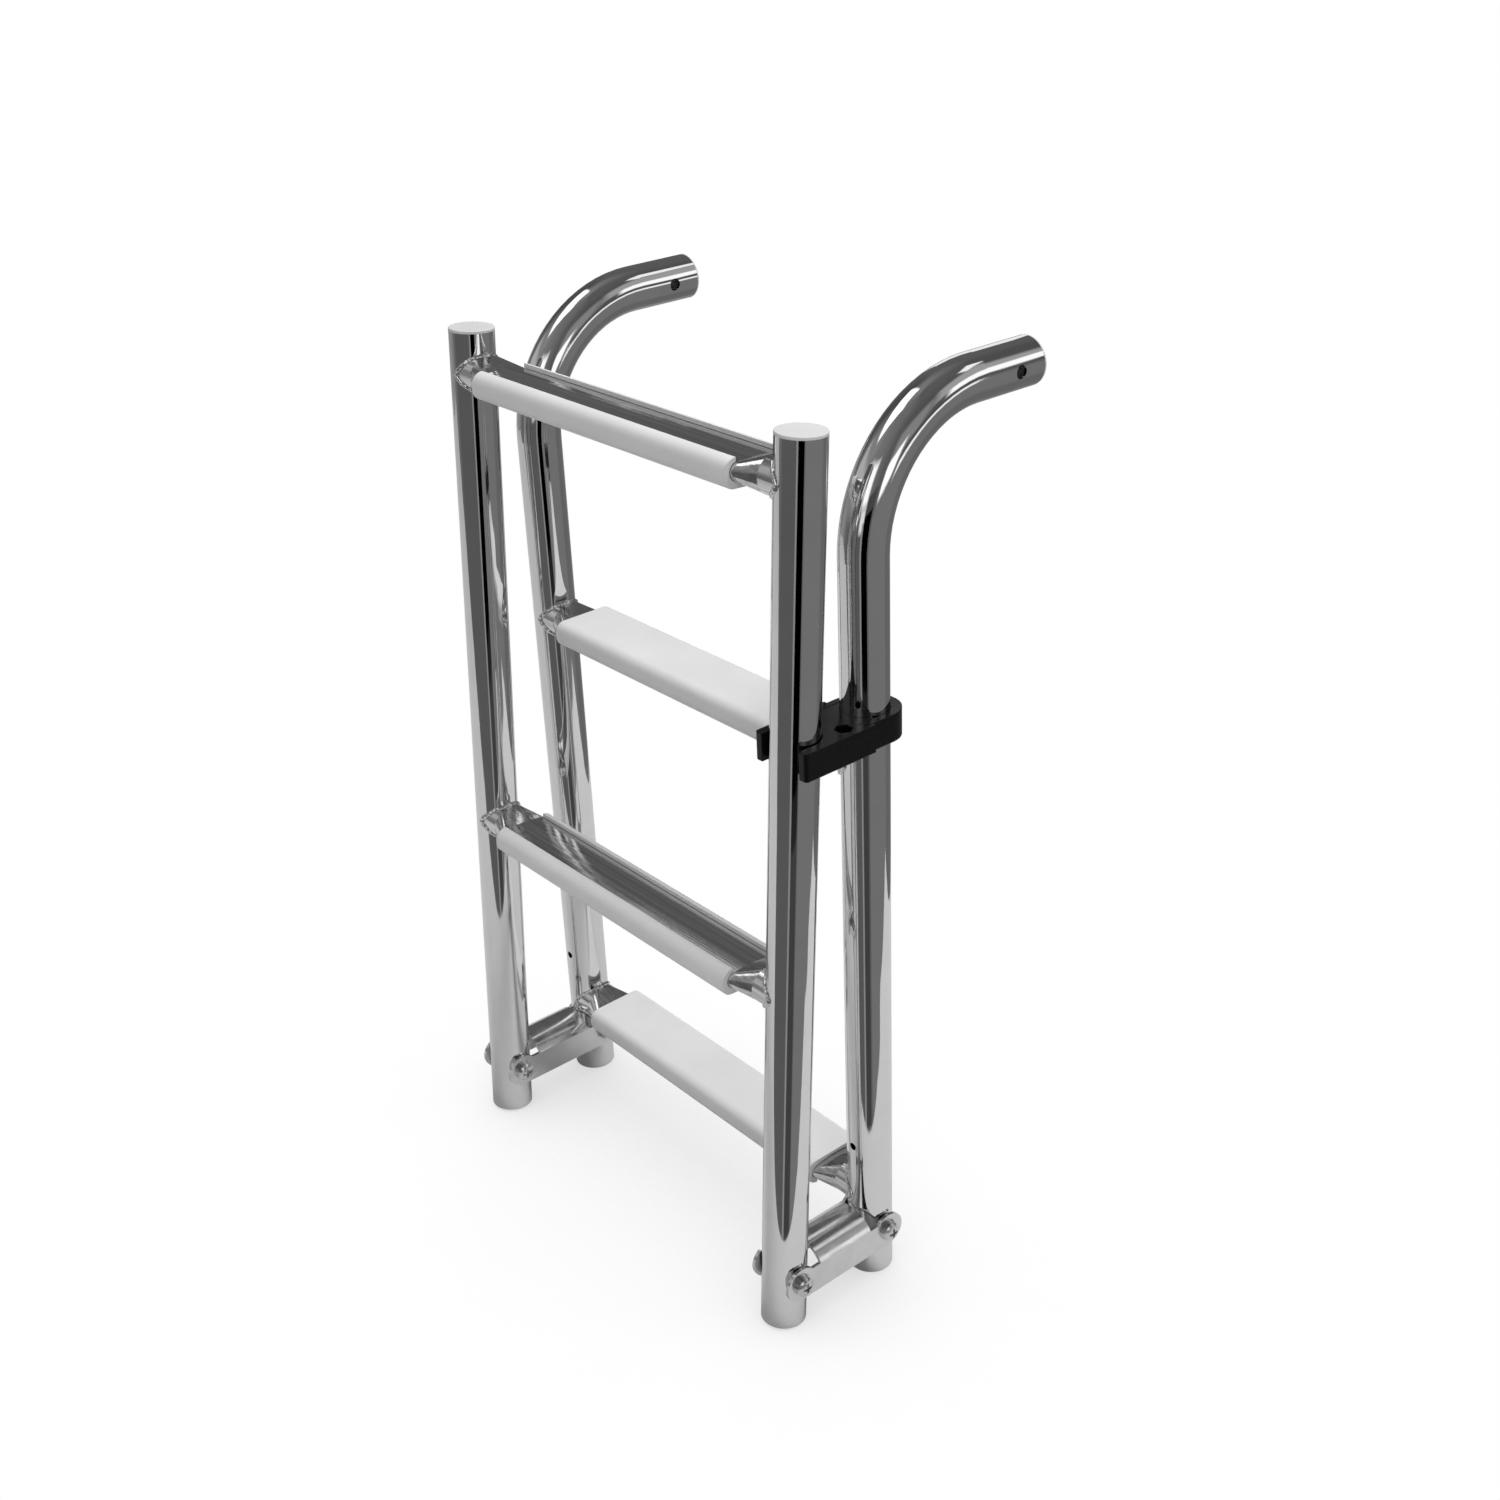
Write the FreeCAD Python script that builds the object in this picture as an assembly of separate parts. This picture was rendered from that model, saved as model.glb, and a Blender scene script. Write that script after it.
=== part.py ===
# Folding four-step boarding ladder of stainless tube, folded and standing on its four feet.
# Millimetres. +Z is up, +Y points from the steps to the deck hooks, X runs across the ladder.
# The origin is on the floor, in the middle of the whole ladder's footprint.
import FreeCAD, Part
import math
import os

from FreeCAD import Vector, Placement, Rotation

# Tube that every rail and every rung is made of
TUBE_D = 25.4
TUBE_WALL = 1.2

# Overall layout
RAIL_SPACING = 268.0
STEP_SPACING = 274.0
LOWER_STEP_HEIGHT = 61.0
FOLD_LOWER_STEP = 202.0
FOLD_LEAN_DEG = 3.4
FOLD_RAIL_PAST_STEP = 30.4
MAIN_RAIL_PAST_STEP = 101.0
HOOK_BEND_R = 72.0
HOOK_END_LENGTH = 40.0

# Hinge
HINGE_PITCH = 66.0
PIVOT_HEIGHT = 30.0
LINK_SHEET = 1.9
LINK_SIDE_GAP = 0.45
LINK_END_GAP = 1.3
LINK_END_R = 10.5
LINK_CREASE = 7.0
BOLT_D = 6.0
BOLT_PLAY = 0.06
WASHER_D = 12.6
WASHER_T = 1.1
HEAD_D = 11.2
HEAD_H = 3.7
HEAD_DOME = 2.0
RECESS_WIDTH = 1.6
RECESS_SPAN = 6.0
RECESS_DEPTH = 2.0
NUT_D = 13.4
NUT_H = 4.8
NUT_DOME = 2.2

# Rungs, which are the rail tube pressed flat
RUNG_FLAT_WIDTH = 34.0
RUNG_FLAT_HEIGHT = 11.5
RUNG_END_WIDTH = 25.0
RUNG_END_HEIGHT = 20.0
RUNG_END_STRAIGHT = 3.0
RUNG_FLAT_MARGIN = 0.3
RUNG_WALL = 1.2
RUNG_CROWN_R = 75.0

# Plastic treads that clip over the rungs
TREAD_SETBACK = 16.8
TREAD_DEPTH = 41.0
TREAD_HEIGHT = 15.2
TREAD_TOP = 2.25
TREAD_TOP_R = 6.0
TREAD_LIP_R = 7.0
TREAD_NOSE_GAP = 0.25
TREAD_SEAT_GAP = 0.15
TREAD_MOUTH = 27.0

# Plastic end pieces
CAP_T = 1.6
CAP_EDGE = 0.5
PLUG_DOME = 2.6
PLUG_RIM = 0.8
STEM_LENGTH = 8.0
STEM_GAP = 0.15

# Holes in the main rails
PIN_HOLE_D = 7.0
PIN_HOLE_SETBACK = 17.0
DRAIN_HOLE_D = 4.5
DRAIN_HOLE_HEIGHT = 88.0

# Moulded clip that holds the folded section
CLIP_ABOVE_RUNG = 4.65
CLIP_HEIGHT = 15.0
CLIP_WALL = 5.1
CLIP_BORE_GAP = 0.1
CLIP_JAW_GAP = 0.8
CLIP_ARM_REACH = 9.5
CLIP_TIP_R = 2.0
CLIP_JAW_SETBACK = 10.5
CLIP_SADDLE_SETBACK = 6.0
CLIP_POCKET_AF = 8.5
CLIP_POCKET_DEPTH = 5.0
CLIP_POCKET_X = 10.5
CLIP_POCKET_SETBACK = 24.5
BAND_SIDE_T = 3.8
BAND_BACK_T = 4.8
BAND_CORNER_R = 13.9
BAND_SETBACK = 16.5
BAND_LAP = 5.0
BAND_GAP = 0.25

# Worked out from the sizes above
TUBE_R = TUBE_D / 2
TUBE_INNER_R = TUBE_R - TUBE_WALL
HALF_SPACING = RAIL_SPACING / 2
UPPER_STEP_HEIGHT = LOWER_STEP_HEIGHT + STEP_SPACING
MAIN_STRAIGHT = UPPER_STEP_HEIGHT + MAIN_RAIL_PAST_STEP
FOLD_UPPER_STEP = FOLD_LOWER_STEP + STEP_SPACING
FOLD_RAIL_LENGTH = FOLD_UPPER_STEP + FOLD_RAIL_PAST_STEP
LEAN = math.radians(FOLD_LEAN_DEG)
FOLD_PIVOT_Z = PIVOT_HEIGHT * math.cos(LEAN) + TUBE_R * math.sin(LEAN)
FOLD_PIVOT_DY = -math.sqrt(HINGE_PITCH ** 2 - (FOLD_PIVOT_Z - PIVOT_HEIGHT) ** 2)
LINK_TILT = math.atan2(FOLD_PIVOT_Z - PIVOT_HEIGHT, -FOLD_PIVOT_DY)
FRONT_REACH = FOLD_PIVOT_DY - PIVOT_HEIGHT * math.sin(LEAN) - TUBE_R * math.cos(LEAN)
BACK_REACH = HOOK_BEND_R + HOOK_END_LENGTH + PLUG_RIM + PLUG_DOME
MAIN_Y = -(FRONT_REACH + BACK_REACH) / 2
FOLD_PIVOT_Y = MAIN_Y + FOLD_PIVOT_DY
LINK_INNER = TUBE_R + LINK_SIDE_GAP
LINK_OUTER = LINK_INNER + LINK_SHEET
CROWN_RISE = LINK_OUTER - LINK_CREASE
CROWN_R = (LINK_OUTER ** 2 + CROWN_RISE ** 2) / (2 * CROWN_RISE)
JAW_R = TUBE_R + CLIP_JAW_GAP
CLIP_RING_R = TUBE_R + CLIP_BORE_GAP
SLOT_WIDTH = RUNG_FLAT_WIDTH + 2 * TREAD_NOSE_GAP
SLOT_HEIGHT = RUNG_FLAT_HEIGHT + 2 * TREAD_SEAT_GAP
STEP_TO_RUNG = TREAD_TOP + SLOT_HEIGHT / 2
CLIP_BASE = UPPER_STEP_HEIGHT - STEP_TO_RUNG + RUNG_END_HEIGHT / 2 + CLIP_ABOVE_RUNG
RUNG_SPAN = RAIL_SPACING - TUBE_D
TREAD_LENGTH = RUNG_SPAN - 2 * TREAD_SETBACK
RUNG_FLAT_HALF = TREAD_LENGTH / 2 + RUNG_FLAT_MARGIN
X_AXIS = Vector(1, 0, 0)
Y_AXIS = Vector(0, 1, 0)
Z_AXIS = Vector(0, 0, 1)
SIDES = (("left", -1), ("right", 1))


def rod(radius, start, end):
    """Solid round rod from one point to another."""
    way = end - start
    return Part.makeCylinder(radius, way.Length, start, way)


def block(low, high):
    """Box between two corners."""
    size = high - low
    return Part.makeBox(size.x, size.y, size.z, low)


def seamed_circle(radius, centre):
    """Level round outline, ready for a sweep, whose seam lies towards +Y, inside the hook's bend."""
    outline = Part.Wire(Part.makeCircle(radius, centre, Z_AXIS))
    outline.rotate(centre, Z_AXIS, 90)
    return outline


def pressed_wire(x, width, height, crown_r):
    """Outline of a pressed tube in the plane X = x: two shallow crowns that run into two round sides."""
    side_r = (crown_r * height - (width ** 2 + height ** 2) / 4) / (2 * crown_r - width)
    side_y = width / 2 - side_r
    share = crown_r / (crown_r - side_r)
    y = side_y * share
    z = (crown_r - height / 2) * (share - 1)
    top = Part.Arc(Vector(x, -y, z), Vector(x, 0, height / 2), Vector(x, y, z))
    back = Part.Arc(Vector(x, y, z), Vector(x, width / 2, 0), Vector(x, y, -z))
    bottom = Part.Arc(Vector(x, y, -z), Vector(x, 0, -height / 2), Vector(x, -y, -z))
    front = Part.Arc(Vector(x, -y, -z), Vector(x, -width / 2, 0), Vector(x, -y, z))
    return Part.Wire([edge.toShape() for edge in (top, back, bottom, front)])


def extrude_x(wire, length):
    """Solid from a closed wire, pushed along +X."""
    return Part.Face(wire).extrude(Vector(length, 0, 0))


def to_fold(shape):
    """Carry a shape drawn about its own pivot onto the leaning folded section."""
    turned = shape.copy()
    turned.rotate(Vector(0, 0, 0), X_AXIS, -FOLD_LEAN_DEG)
    turned.translate(Vector(0, FOLD_PIVOT_Y, FOLD_PIVOT_Z))
    return turned


def from_main(shape):
    """Carry a shape drawn about the main rails' foot line onto the main section."""
    moved = shape.copy()
    moved.translate(Vector(0, MAIN_Y, 0))
    return moved


# Rails

def hooked_rod(x, radius, foot_extra, end_extra):
    """Solid rod along the main rail: straight up, quarter bend, straight to the back."""
    low = Vector(x, 0, -foot_extra)
    bend_start = Vector(x, 0, MAIN_STRAIGHT)
    half = HOOK_BEND_R * math.sqrt(0.5)
    bend_mid = Vector(x, HOOK_BEND_R - half, MAIN_STRAIGHT + half)
    bend_end = Vector(x, HOOK_BEND_R, MAIN_STRAIGHT + HOOK_BEND_R)
    tip = bend_end + Vector(0, HOOK_END_LENGTH + end_extra, 0)
    edges = [
        Part.LineSegment(low, bend_start).toShape(),
        Part.Arc(bend_start, bend_mid, bend_end).toShape(),
        Part.LineSegment(bend_end, tip).toShape(),
    ]
    path = Part.Wire(edges)
    return path.makePipeShell([seamed_circle(radius, low)], True, False)


def across(x, y, z, diameter):
    """Round cutter through a rail from side to side."""
    return rod(diameter / 2, Vector(x - TUBE_D, y, z), Vector(x + TUBE_D, y, z))


def main_rail(side):
    x = side * HALF_SPACING
    rail = hooked_rod(x, TUBE_R, 0, 0).cut(hooked_rod(x, TUBE_INNER_R, 1, 1))
    rail = rail.cut(across(x, 0, PIVOT_HEIGHT, BOLT_D + 2 * BOLT_PLAY))
    pin_y = HOOK_BEND_R + HOOK_END_LENGTH - PIN_HOLE_SETBACK
    rail = rail.cut(across(x, pin_y, MAIN_STRAIGHT + HOOK_BEND_R, PIN_HOLE_D))
    drain = rod(DRAIN_HOLE_D / 2, Vector(x, -TUBE_D, DRAIN_HOLE_HEIGHT), Vector(x, 0, DRAIN_HOLE_HEIGHT))
    return from_main(rail.cut(drain))


def fold_rail(side):
    x = side * HALF_SPACING
    foot = Vector(x, 0, -PIVOT_HEIGHT)
    top = Vector(x, 0, FOLD_RAIL_LENGTH - PIVOT_HEIGHT)
    rail = rod(TUBE_R, foot, top).cut(rod(TUBE_INNER_R, foot, top))
    rail = rail.cut(across(x, 0, 0, BOLT_D + 2 * BOLT_PLAY))
    return to_fold(rail)


# Rungs and treads

def rung_skin(shrink):
    """Solid outline of a rung along X: flat in the middle, rounder at its two ends."""
    stops = (
        (HALF_SPACING, RUNG_END_WIDTH, RUNG_END_HEIGHT),
        (RUNG_SPAN / 2 - RUNG_END_STRAIGHT, RUNG_END_WIDTH, RUNG_END_HEIGHT),
        (RUNG_FLAT_HALF, RUNG_FLAT_WIDTH, RUNG_FLAT_HEIGHT),
    )
    places = [(-x, w, h) for x, w, h in stops] + [(x, w, h) for x, w, h in reversed(stops)]
    wires = [pressed_wire(x, w - 2 * shrink, h - 2 * shrink, RUNG_CROWN_R - shrink) for x, w, h in places]
    return Part.makeLoft(wires, True, True)


def rung_tube():
    """Hollow rung, coped to the two rails, centred on the X axis."""
    tube = rung_skin(0).cut(rung_skin(RUNG_WALL))
    for side in (-1, 1):
        x = side * HALF_SPACING
        tube = tube.cut(rod(TUBE_R, Vector(x, 0, -TUBE_D), Vector(x, 0, TUBE_D)))
    return tube


def rounded_profile(x):
    """Outline of a tread's end: a rectangle with well rounded corners."""
    half = TREAD_DEPTH / 2
    top = STEP_TO_RUNG
    low = top - TREAD_HEIGHT
    bend = math.sqrt(0.5)
    edges = []
    corners = (
        (half, top, TREAD_TOP_R, 1, 1),
        (half, low, TREAD_LIP_R, 1, -1),
        (-half, low, TREAD_LIP_R, -1, -1),
        (-half, top, TREAD_TOP_R, -1, 1),
    )
    arcs = []
    for y, z, r, sy, sz in corners:
        cy = y - sy * r
        cz = z - sz * r
        flat_end = Vector(x, cy, z)
        wall_end = Vector(x, y, cz)
        middle = Vector(x, cy + sy * r * bend, cz + sz * r * bend)
        ends = (flat_end, wall_end) if sy * sz > 0 else (wall_end, flat_end)
        arcs.append((ends[0], middle, ends[1]))
    for index, (start, middle, end) in enumerate(arcs):
        edges.append(Part.Arc(start, middle, end).toShape())
        following = arcs[(index + 1) % len(arcs)][0]
        edges.append(Part.LineSegment(end, following).toShape())
    return Part.Wire(edges)


def tread():
    """Plastic tread with a slot for the rung, open below between its two lips."""
    start = -TREAD_LENGTH / 2
    body = extrude_x(rounded_profile(start), TREAD_LENGTH)
    slot = extrude_x(pressed_wire(start, SLOT_WIDTH, SLOT_HEIGHT, RUNG_CROWN_R), TREAD_LENGTH)
    mouth = block(Vector(start, -TREAD_MOUTH / 2, -TREAD_HEIGHT), Vector(-start, TREAD_MOUTH / 2, 0))
    return body.cut(slot.fuse(mouth))


def main_step(shape, step_height):
    """Place a rung or tread under a step of the main section."""
    placed = shape.copy()
    placed.translate(Vector(0, 0, step_height - STEP_TO_RUNG))
    return from_main(placed)


def fold_step(shape, distance_from_foot):
    """Place a rung or tread on the folded section, where its top faces the feet."""
    placed = shape.copy()
    placed.rotate(Vector(0, 0, 0), X_AXIS, 180)
    placed.translate(Vector(0, 0, distance_from_foot + STEP_TO_RUNG - PIVOT_HEIGHT))
    return to_fold(placed)


# Plastic end pieces

def plug_stem(centre, way):
    """Round stem that holds an end piece in the tube."""
    return rod(TUBE_INNER_R - STEM_GAP, centre, centre - way * STEM_LENGTH)


def top_cap(side):
    centre = Vector(side * HALF_SPACING, 0, FOLD_RAIL_LENGTH - PIVOT_HEIGHT)
    disc = rod(TUBE_R, centre, centre + Z_AXIS * CAP_T)
    rim = [edge for edge in disc.Edges if abs(edge.CenterOfMass.z - centre.z - CAP_T) < CAP_T / 4
           and edge.Closed]
    disc = disc.makeFillet(CAP_EDGE, rim)
    return to_fold(disc.fuse(plug_stem(centre, Z_AXIS)))


def domed_disc(radius, rim, height, centre, way):
    """Round disc with a straight rim and a shallow dome, turned about its own axis."""
    ball_r = (radius ** 2 + height ** 2) / (2 * height)
    half_angle = math.asin(radius / ball_r) / 2
    shoulder = Vector(radius, 0, rim)
    crown = Vector(ball_r * math.sin(half_angle), 0, rim + height - ball_r * (1 - math.cos(half_angle)))
    tip = Vector(0, 0, rim + height)
    edges = [
        Part.LineSegment(Vector(0, 0, 0), Vector(radius, 0, 0)).toShape(),
        Part.LineSegment(Vector(radius, 0, 0), shoulder).toShape(),
        Part.Arc(shoulder, crown, tip).toShape(),
        Part.LineSegment(tip, Vector(0, 0, 0)).toShape(),
    ]
    disc = Part.Face(Part.Wire(edges)).revolve(Vector(0, 0, 0), Z_AXIS, 360)
    disc.Placement = Placement(centre, Rotation(Z_AXIS, way))
    return disc


def hook_plug(side):
    centre = Vector(side * HALF_SPACING, HOOK_BEND_R + HOOK_END_LENGTH, MAIN_STRAIGHT + HOOK_BEND_R)
    plug = domed_disc(TUBE_R, PLUG_RIM, PLUG_DOME, centre, Y_AXIS)
    return from_main(plug.fuse(plug_stem(centre, Y_AXIS)))


# Hinge links and their bolts

def link_flange(x_low):
    """One side plate of a link, drawn along -Y from the main pivot at the origin."""
    near = rod(LINK_END_R, Vector(x_low, 0, 0), Vector(x_low + LINK_SHEET, 0, 0))
    far = rod(LINK_END_R, Vector(x_low, -HINGE_PITCH, 0), Vector(x_low + LINK_SHEET, -HINGE_PITCH, 0))
    bar = block(Vector(x_low, -HINGE_PITCH, -LINK_END_R), Vector(x_low + LINK_SHEET, 0, LINK_CREASE))
    return near.fuse(far).fuse(bar)


def hinge_link(side):
    """Pressed channel: flat sides carry the bolts and a rounded crown joins them past a crease."""
    crown_start = TUBE_R + LINK_END_GAP
    crown_end = HINGE_PITCH - crown_start
    crown_z = LINK_OUTER - CROWN_R
    outer = rod(CROWN_R, Vector(0, -crown_start, crown_z), Vector(0, -crown_end, crown_z))
    inner = rod(CROWN_R - LINK_SHEET, Vector(0, -crown_start, crown_z), Vector(0, -crown_end, crown_z))
    lower = block(Vector(-TUBE_D, -HINGE_PITCH, -TUBE_D), Vector(TUBE_D, 0, LINK_CREASE))
    link = outer.cut(inner).cut(lower)
    link = link.fuse(link_flange(LINK_INNER)).fuse(link_flange(-LINK_OUTER))
    for y in (0, -HINGE_PITCH):
        link = link.cut(rod(BOLT_D / 2, Vector(-TUBE_D, y, 0), Vector(TUBE_D, y, 0)))
    return to_link(link.removeSplitter(), side)


def to_link(shape, side):
    """Carry a shape drawn about the main pivot onto one of the two links."""
    placed = shape.copy()
    placed.rotate(Vector(0, 0, 0), X_AXIS, -math.degrees(LINK_TILT))
    placed.translate(Vector(side * HALF_SPACING, MAIN_Y, PIVOT_HEIGHT))
    return placed


def pivot_bolt():
    """Round-headed bolt along X with a cross recess, head towards +X."""
    seat = LINK_OUTER + WASHER_T
    shank = rod(BOLT_D / 2, Vector(-LINK_OUTER, 0, 0), Vector(seat, 0, 0))
    bolt = shank.fuse(domed_disc(HEAD_D / 2, HEAD_H - HEAD_DOME, HEAD_DOME, Vector(seat, 0, 0), X_AXIS))
    top = seat + HEAD_H
    for width, span in ((RECESS_WIDTH, RECESS_SPAN), (RECESS_SPAN, RECESS_WIDTH)):
        low = Vector(top - RECESS_DEPTH, -width / 2, -span / 2)
        bolt = bolt.cut(block(low, Vector(top + HEAD_H, width / 2, span / 2)))
    return bolt


def head_washer():
    washer = rod(WASHER_D / 2, Vector(LINK_OUTER, 0, 0), Vector(LINK_OUTER + WASHER_T, 0, 0))
    return washer.cut(rod(BOLT_D / 2, Vector(0, 0, 0), Vector(TUBE_D, 0, 0)))


def pivot_nut():
    """Domed cap nut on the -X side."""
    return domed_disc(NUT_D / 2, NUT_H - NUT_DOME, NUT_DOME, Vector(-LINK_OUTER, 0, 0), -X_AXIS)


# Clip

def clip_space(x_half, y_low, y_high):
    """Box as tall as the clip, centred on the right rail, between two depths."""
    low = Vector(HALF_SPACING - x_half, y_low, CLIP_BASE)
    return block(low, Vector(HALF_SPACING + x_half, y_high, CLIP_BASE + CLIP_HEIGHT))


def clip_round(radius, y):
    """Upright round column as tall as the clip."""
    return rod(radius, Vector(HALF_SPACING, y, CLIP_BASE), Vector(HALF_SPACING, y, CLIP_BASE + CLIP_HEIGHT))


def jaw_centre_y():
    """Where the folded rail crosses the clip's mid height, from the main rail's axis."""
    rise = CLIP_BASE + CLIP_HEIGHT / 2 - FOLD_PIVOT_Z
    return FOLD_PIVOT_DY + rise * math.tan(LEAN)


def clip_jaw():
    """Front of the clip: two thick straight arms, a solid web and a saddle against the main rail."""
    jaw_y = jaw_centre_y()
    tip_y = jaw_y - CLIP_ARM_REACH
    body = clip_space(JAW_R + CLIP_WALL, tip_y, -CLIP_JAW_SETBACK)
    tips = [edge for edge in body.Edges if abs(edge.CenterOfMass.y - tip_y) < CLIP_TIP_R
            and abs(edge.CenterOfMass.x - HALF_SPACING) > JAW_R and edge.Length > CLIP_TIP_R]
    body = body.makeFillet(CLIP_TIP_R, tips)
    body = body.fuse(clip_space(CLIP_RING_R - BAND_GAP, -CLIP_JAW_SETBACK, -CLIP_SADDLE_SETBACK))
    body = body.cut(band_space(BAND_GAP))
    body = body.cut(clip_round(CLIP_RING_R, 0))
    body = body.cut(clip_round(JAW_R, jaw_y))
    body = body.cut(clip_space(JAW_R, tip_y - TUBE_D, jaw_y))
    return from_main(body.cut(clip_pocket()))


def clip_pocket():
    """Six-sided recess in the clip's top face, beside the slanted joint."""
    corner_r = CLIP_POCKET_AF / math.sqrt(3)
    floor = CLIP_BASE + CLIP_HEIGHT - CLIP_POCKET_DEPTH
    corners = []
    for index in range(7):
        angle = math.radians(60 * index)
        x = HALF_SPACING + CLIP_POCKET_X + corner_r * math.cos(angle)
        y = -CLIP_POCKET_SETBACK + corner_r * math.sin(angle)
        corners.append(Vector(x, y, floor))
    return Part.Face(Part.makePolygon(corners)).extrude(Z_AXIS * CLIP_HEIGHT)


def band_space(gap):
    """U-shaped strap round the main rail, with slanted front ends, grown by a gap on every side."""
    inner = CLIP_RING_R - gap
    outer = CLIP_RING_R + BAND_SIDE_T + gap
    back = CLIP_RING_R + BAND_BACK_T + gap
    front = -BAND_SETBACK - gap
    corner_x = outer - BAND_CORNER_R
    corner_y = back - BAND_CORNER_R
    bend = BAND_CORNER_R * math.sqrt(0.5)

    def at(x, y):
        return Vector(HALF_SPACING + x, y, CLIP_BASE)

    edges = [
        Part.LineSegment(at(inner, front), at(outer, front + BAND_LAP)),
        Part.LineSegment(at(outer, front + BAND_LAP), at(outer, corner_y)),
        Part.Arc(at(outer, corner_y), at(corner_x + bend, corner_y + bend), at(corner_x, back)),
        Part.LineSegment(at(corner_x, back), at(-corner_x, back)),
        Part.Arc(at(-corner_x, back), at(-corner_x - bend, corner_y + bend), at(-outer, corner_y)),
        Part.LineSegment(at(-outer, corner_y), at(-outer, front + BAND_LAP)),
        Part.LineSegment(at(-outer, front + BAND_LAP), at(-inner, front)),
        Part.LineSegment(at(-inner, front), at(-inner, 0)),
        Part.Arc(at(-inner, 0), at(0, inner), at(inner, 0)),
        Part.LineSegment(at(inner, 0), at(inner, front)),
    ]
    outline = Part.Wire([edge.toShape() for edge in edges])
    return Part.Face(outline).extrude(Z_AXIS * CLIP_HEIGHT)


def clip_band():
    """Strap that closes the clip behind the main rail."""
    return from_main(band_space(0))


def all_nodes():
    """Every node of the ladder by name."""
    nodes = {}
    steps = (("lower", LOWER_STEP_HEIGHT), ("upper", UPPER_STEP_HEIGHT))
    for level, height in steps:
        nodes["main_%s_rung" % level] = main_step(rung_tube(), height)
        nodes["main_%s_tread" % level] = main_step(tread(), height)
    steps = (("lower", FOLD_LOWER_STEP), ("upper", FOLD_UPPER_STEP))
    for level, distance in steps:
        nodes["fold_%s_rung" % level] = fold_step(rung_tube(), distance)
        nodes["fold_%s_tread" % level] = fold_step(tread(), distance)
    for name, side in SIDES:
        nodes["main_rail_%s" % name] = main_rail(side)
        nodes["fold_rail_%s" % name] = fold_rail(side)
        nodes["fold_cap_%s" % name] = top_cap(side)
        nodes["hook_plug_%s" % name] = hook_plug(side)
        nodes["hinge_link_%s" % name] = hinge_link(side)
        for pivot, offset in (("main", 0), ("fold", -HINGE_PITCH)):
            for piece, shape in (("bolt", pivot_bolt()), ("washer", head_washer()), ("nut", pivot_nut())):
                shape.translate(Vector(0, offset, 0))
                nodes["%s_pivot_%s_%s" % (pivot, piece, name)] = to_link(shape, side)
    nodes["clip_jaw"] = clip_jaw()
    nodes["clip_band"] = clip_band()
    return nodes


def main():
    os.makedirs("parts", exist_ok=True)
    for name, shape in all_nodes().items():
        shape.exportStep("parts/%s.step" % name)
        print(name, round(shape.Volume), len(shape.Solids), shape.isValid())
    print("main pivot", 0, round(MAIN_Y, 3), PIVOT_HEIGHT)
    print("fold pivot", 0, round(FOLD_PIVOT_Y, 3), round(FOLD_PIVOT_Z, 3))
    print("link fold range", round(90 + math.degrees(LINK_TILT), 3))
    print("section fold range", round(90 + FOLD_LEAN_DEG - math.degrees(LINK_TILT), 3))


main()
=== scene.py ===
# Looks for the folding boarding ladder: polished tube, white treads and a black clip in a pale studio.
# Lengths are in metres, in the same frame as the solids, and angles are written in degrees.
import math
import random

import bmesh
import bpy
from mathutils import Matrix, Vector


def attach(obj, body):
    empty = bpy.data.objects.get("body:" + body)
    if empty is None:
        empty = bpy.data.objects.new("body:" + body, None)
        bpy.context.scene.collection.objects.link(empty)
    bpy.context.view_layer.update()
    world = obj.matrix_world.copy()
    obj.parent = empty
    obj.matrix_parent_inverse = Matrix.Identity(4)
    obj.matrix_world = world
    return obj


# Camera, solved from the photograph
CAMERA_PLACE = Vector((0.750755, -0.605404, 0.772409))
CAMERA_AZIMUTH = 50.2683
CAMERA_ELEVATION = 27.234
CAMERA_ROLL = -2.3641
FOCAL_PIXELS = 1904.818
IMAGE_PIXELS = 1500
SENSOR_MM = 36.0
NEAREST_SEEN = 0.01
FARTHEST_SEEN = 100.0

# Ladder sizes that the added pieces follow
TUBE_R = 0.0127
HALF_SPACING = 0.134
MAIN_Y = -0.017473
FOLD_PIVOT = Vector((0, -0.08347, 0.0307))
FOLD_LEAN = math.radians(3.4)
LINK_TILT = math.radians(0.608)
PIVOT_HEIGHT = 0.030
HINGE_PITCH = 0.066
RUNG_END_HALF_WIDTH = 0.0125
RUNG_END_HALF_HEIGHT = 0.010
MAIN_RUNG_HEIGHTS = (0.05285, 0.32685)
FOLD_RUNG_RISES = (0.18015, 0.45415)
LINK_OUTER = 0.01505
LINK_CREASE = 0.007
LINK_END_FROM_PIVOT = 0.014
SIDES = (("left", -1), ("right", 1))

# Weld beads round the rung ends
WELD_POINTS = 110
WELD_RING = 10
WELD_RADIUS = 0.0012
WELD_RIPPLE = 0.00035
WELD_WAVES = 27
WELD_SQUARENESS = 0.4
SWELL_KEPT = 0.8
SWELL_ADDED = 0.2
WELD_SEED = 7

# Rolled lips at the ends of the links
LIP_RADIUS = 0.0007
LIP_POINTS = 33
LIP_RING = 8

# Direction that no line of points runs along, to start the rings of a tube from
ODD_WAY = Vector((0.31, 0.52, 0.79))

# Share of the light that the polished steel sends back
STEEL_TINT = 0.80
STEEL_TINT_SMEARED = STEEL_TINT * 0.94

# Part of a noise's range that wear and clouding use
NOISE_RANGE = (0.3, 0.7)
BEVEL_SAMPLES = 6

# Outline of the white table top, as the polished tubes show it
TABLE_OUTLINE = ((0.42, 0.38), (-1.9, 0.42), (-1.9, -1.3), (-0.95, -1.15), (-0.55, -0.95), (-0.20, -0.66),
                 (0.0, -0.36), (0.20, -0.15), (0.42, 0.08))
TABLE_GLOSS = 0.02

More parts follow.
